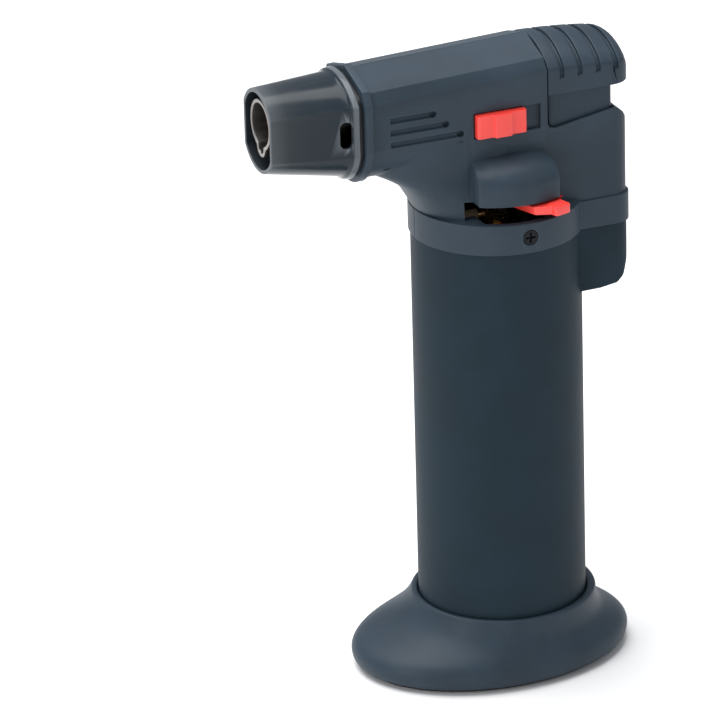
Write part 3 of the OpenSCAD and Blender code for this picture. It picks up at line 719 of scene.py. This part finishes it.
@dataclass
class SubAssembly:
    """What every part of the torch shares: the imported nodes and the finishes."""

    nodes: dict[str, bpy.types.Object]
    looks: dict[str, bpy.types.Material]

    def register(self, piece: Workpiece, body: str, slot: str, *stands_for: str) -> bpy.types.Object:
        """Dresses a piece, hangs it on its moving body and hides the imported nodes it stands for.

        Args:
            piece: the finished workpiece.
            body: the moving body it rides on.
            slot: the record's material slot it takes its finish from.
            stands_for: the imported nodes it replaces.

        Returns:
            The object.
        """
        obj = piece.finish(self.looks[slot])
        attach(obj, body)
        if stands_for:
            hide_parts(*stands_for)
        return obj

    def moulding(self, node: str, body: str, slot: str, width: float, angle: float = 35.0) -> bpy.types.Object:
        """A packed moulding carried over with softened edges.

        Args:
            node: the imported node.
            body: the body it rides on.
            slot: its material slot.
            width: the edge rounding in millimetres.
            angle: edges sharper than this are rounded.

        Returns:
            The object.
        """
        piece = Workpiece.copy_of(self.nodes[node], node + "_skin")
        piece.soften(width, 2, angle)
        piece.smooth(40)
        return self.register(piece, body, slot, node)


@dataclass
class FlaredStand(SubAssembly):
    """The oval stand with its concave flare, and the rubber sole under it."""

    sides: int = 64
    levels: list[tuple[float, float, float, float]] = field(
        default_factory=lambda: [
            (0.62, 31.4, 22.6, 3.5),
            (0.62, 32.5, 23.7, 3.5),
            (0.95, 33.4, 24.6, 3.5),
            (1.9, 34.5, 25.7, 3.5),
            (3.6, 34.9, 26.1, 3.5),
            (5.1, 34.75, 26.0, 3.45),
            (6.8, 33.3, 25.5, 3.3),
            (8.4, 30.0, 24.5, 2.9),
            (10.2, 26.4, 23.4, 2.1),
            (12.3, 24.1, 22.6, 1.0),
            (14.6, 22.9, 22.3, 0.1),
            (16.0, 22.5, 22.3, -0.3),
            (16.5, 22.1, 22.0, -0.3),
            (16.5, 20.95, 20.95, 0.0),
            (16.2, 20.5, 20.5, 0.0),
            (15.0, 20.42, 20.42, 0.0),
            (3.4, 20.42, 20.42, 0.0),
            (3.2, 20.2, 20.2, 0.0),
            (3.2, 18.0, 18.0, 0.0),
        ]
    )

    def ring(self, z: float, a: float, b: float, shift: float) -> list[Vector]:
        """One oval level of the stand."""
        turns = [2 * math.pi * k / self.sides for k in range(self.sides)]
        return [Vector((a * math.cos(t) - shift, b * math.sin(t), z)) for t in turns]

    def build(self) -> None:
        """Models the stand's skin and softens the sole."""
        piece = Workpiece.ring_of("stand_skin", self.ring(*self.levels[0]))
        for level in self.levels[1:]:
            piece.station(self.ring(*level))
        piece.cap()
        piece.cap_start(lambda p: p.z < 1)
        piece.outward()
        piece.subdivide(2)
        piece.smooth(60)
        self.register(piece, "stand", "dark_plastic", "stand")
        self.moulding("stand_pad", "stand", "rubber_sole", 0.15)


@dataclass
class FuelHandle(SubAssembly):
    """The round fuel handle with the igniter boss at its rear."""

    def build(self) -> None:
        """Carries the handle over with softened edges."""
        self.moulding("handle_tank", "torch", "handle_plastic", 0.3, 38)


@dataclass
class HeatShield(SubAssembly):
    """The dark plated shield, the flame tube inside it and the gasket behind it."""

    front: float = -59.6
    rear: float = -38.85
    wall: float = 1.0
    slot_x: float = -41.8
    slot_z: float = 143.4

    def outline(self, width: float, radius: float, centre: float, crease: float, ridge: float) -> Outline:
        """The shield's section: round belly, upright sides, a crisp crease and an arched roof.

        Args:
            width: half its width.
            radius: its belly's radius.
            centre: the belly centre's height.
            crease: the height where side and roof meet.
            ridge: the ridge's height.

        Returns:
            The (y, z) outline, always with the same number of points.
        """
        reach = math.asin(min(1.0, width / radius))
        belly = [
            (radius * math.sin(reach * k / 12), centre - radius * math.cos(reach * k / 12), 0.0)
            for k in range(-11, 12)
        ]
        rise = ridge - crease
        bend = (width * width + rise * rise) / (2 * rise)
        edge = math.asin(width / bend)
        roof = [
            (bend * math.sin(edge * k / 8), ridge - bend + bend * math.cos(edge * k / 8), 0.0)
            for k in range(7, -8, -1)
        ]
        right = [(width, centre - radius * math.cos(reach), 1.2), (width, crease, 0.3)]
        left = [(-y, z, r) for y, z, r in reversed(right)]
        return rounded_outline(belly + right + roof + left, 3)

    def section(self, x: float, grow: float = 0.0) -> list[Vector]:
        """The section at a station, grown outwards by a little."""
        t = (x - self.front) / (self.rear - self.front)
        width, radius, centre = 8.5 + 3.0 * t + grow, 10.2 + 2.0 * t + grow, 143.9 - 2.0 * t
        outline = self.outline(width, radius, centre, 149.0 + t + grow / 2, 154.1 + 0.9 * t + grow)
        return [Vector((x, y, z)) for y, z in outline]

    def build(self) -> None:
        """Models the shield and dresses the parts round it."""
        outer = [(self.rear, 0.66), (-40.1, 0.6), (-40.35, 0.45), (-40.7, 0.12), (-41.2, 0.0), (-42.6, 0.0)]
        outer += [(-46.0, 0.0), (-50.0, 0.0), (-55.0, 0.0), (self.front, 0.0)]
        inner = [(x, -self.wall) for x in (self.front, -55.0, -50.0, -46.0, -42.6, self.rear)]
        piece = Workpiece.ring_of("heat_shield_skin", self.section(*outer[0]))
        for x, grow in outer[1:] + inner:
            piece.station(self.section(x, grow))
        piece.join_ends()
        piece.outward()
        cutters = []
        for side in (-1, 1):
            low = (self.slot_x - 1.45, min(side * 7, side * 15), self.slot_z - 3.25)
            high = (self.slot_x + 1.45, max(side * 7, side * 15), self.slot_z + 3.25)
            cutter = Workpiece.block("vent_cutter", low, high)
            cutter.edit()
            cutter.pick_edges(lambda a, b, angle: abs(a.y - b.y) > 5)
            bpy.ops.mesh.bevel(offset=1.42 * MM, segments=8, affect="EDGES")
            cutter.close()
            cutters.append(cutter)
        piece.cut(cutters)
        piece.soften(0.22, 3, 50)
        piece.smooth(38)
        self.register(piece, "torch", "black_chrome", "heat_shield")
        self.moulding("flame_tube", "torch", "heat_steel", 0.3, 40)
        self.moulding("shield_gasket", "torch", "black_plastic", 0.15, 40)


@dataclass
class HeadShell(SubAssembly):
    """The two moulded halves of the head and their screws."""

    def build(self) -> None:
        """Carries the halves over with softened edges."""
        self.moulding("housing_left", "torch", "dark_plastic", 0.22, 24)
        self.moulding("housing_right", "torch", "dark_plastic", 0.22, 24)
        self.moulding("housing_screws", "torch", "black_steel", 0.08, 40)
        self.moulding("collar_screw", "torch", "black_steel", 0.08, 40)


@dataclass
class Controls(SubAssembly):
    """Trigger, lock slide and flame lever."""

    def build(self) -> None:
        """Carries the controls over with softened edges."""
        self.moulding("trigger", "trigger", "dark_plastic", 0.25, 24)
        self.moulding("lock_slide", "lock", "red_plastic", 0.25, 15)
        self.moulding("lock_carrier", "lock", "black_plastic", 0.15)
        self.moulding("flame_lever", "flame_lever", "red_plastic", 0.3, 25)


@dataclass
class Innards(SubAssembly):
    """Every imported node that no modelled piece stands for."""

    slots: dict[str, str]

    def build(self) -> None:
        """Dresses the carried-over nodes in their own finishes."""
        for name, node in self.nodes.items():
            if node.hide_render:
                continue
            node.data.materials.clear()
            node.data.materials.append(self.looks[self.slots[name]])
            LOG.info("%s keeps its packed shape, in %s", name, self.slots[name])


# ---------------------------------------------------------------- studio


@dataclass
class Softbox:
    """A rectangular studio light aimed at a point, lengths in metres."""

    name: str
    place: tuple[float, float, float]
    aim: tuple[float, float, float]
    size: tuple[float, float]
    power: float
    tint: Colour = (1.0, 1.0, 1.0)

    def build(self) -> None:
        """Hangs the light."""
        lamp = bpy.data.lights.new(self.name, "AREA")
        lamp.shape = "RECTANGLE"
        lamp.size, lamp.size_y = self.size
        lamp.energy = self.power
        lamp.color = self.tint
        obj = bpy.data.objects.new(self.name, lamp)
        bpy.context.scene.collection.objects.link(obj)
        obj.location = self.place
        obj.rotation_euler = (Vector(self.aim) - Vector(self.place)).to_track_quat("-Z", "Y").to_euler()


@dataclass
class Studio:
    """Pale floor, soft lights and the camera."""

    floor_half: float = 4.0
    surround: Colour = (0.93, 0.95, 1.0)
    surround_strength: float = 0.4
    camera_place: Colour = (-546.5, -1269.6, 662.7)
    azimuth: float = -23.29
    elevation: float = 22.859
    roll: float = -1.033
    focal_mm: float = 318.6
    aim_right: float = -0.022711
    aim_up: float = -0.002131
    lights: list[Softbox] = field(
        default_factory=lambda: [
            Softbox("top_box", (-0.25, 0.25, 1.5), (0.0, 0.0, 0.1), (1.3, 1.3), 34.0),
            Softbox("left_box", (-1.5, -0.5, 0.7), (0.0, 0.0, 0.1), (0.7, 1.2), 8.0),
            Softbox("front_box", (0.7, -1.5, 0.9), (0.0, 0.0, 0.09), (1.2, 0.9), 2.4),
        ]
    )

    def build(self, look: bpy.types.Material) -> None:
        """Lays the floor, hangs the lights and sets up the camera.

        Args:
            look: the floor's material.
        """
        piece = Workpiece.block("floor", (-1, -1, -1), (1, 1, -0.02))
        piece.edit()
        piece.pick_faces(lambda centre, normal: True)
        bpy.ops.transform.resize(value=(self.floor_half * 1000, self.floor_half * 1000, 1), center_override=(0, 0, 0))
        piece.finish(look)
        world = bpy.data.worlds.new("surround")
        world.use_nodes = True
        background = world.node_tree.nodes["Background"]
        background.inputs["Color"].default_value = (*self.surround, 1.0)
        background.inputs["Strength"].default_value = self.surround_strength
        bpy.context.scene.world = world
        bpy.context.scene.view_settings.view_transform = "Standard"
        for light in self.lights:
            light.build()
        self.camera()

    def camera(self) -> None:
        """Places the camera with its lens, turned to the object's pose."""
        a, e, r = (math.radians(v) for v in (self.azimuth, self.elevation, self.roll))
        back = Vector((math.sin(a) * math.cos(e), -math.cos(a) * math.cos(e), math.sin(e)))
        level = (-back).cross(Vector((0, 0, 1))).normalized()
        above = level.cross(-back)
        right = level * math.cos(r) + above * math.sin(r)
        up = above * math.cos(r) - level * math.sin(r)
        look = (-back + right * self.aim_right + up * self.aim_up).normalized()
        right = (right - look * right.dot(look)).normalized()
        up = right.cross(look)
        lens = bpy.data.cameras.new("camera")
        lens.sensor_width = 36.0
        lens.lens = self.focal_mm
        lens.clip_start, lens.clip_end = 0.05, 50.0
        obj = bpy.data.objects.new("camera", lens)
        bpy.context.scene.collection.objects.link(obj)
        turned = Matrix((right, up, -look)).transposed().to_4x4()
        obj.matrix_world = Matrix.Translation(Vector(self.camera_place) * MM) @ turned
        bpy.context.scene.camera = obj


def main() -> None:
    """Builds the torch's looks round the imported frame."""
    logging.basicConfig(level=logging.INFO, format="%(name)s: %(message)s")
    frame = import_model()
    nodes = frame["nodes"]
    slots = {part["node"]: part["material_slot"] for part in frame["record"]["subparts"]}
    looks = {slot: finish.make() for slot, finish in FINISHES.items()}
    assemblies: list[SubAssembly] = [
        FlaredStand(nodes, looks),
        FuelHandle(nodes, looks),
        HeatShield(nodes, looks),
        HeadShell(nodes, looks),
        Controls(nodes, looks),
        Innards(nodes, looks, slots),
    ]
    for assembly in assemblies:
        assembly.build()
        LOG.info("%s done", type(assembly).__name__)
    Studio().build(StudioFloor().make())


if __name__ == "__main__":
    main()
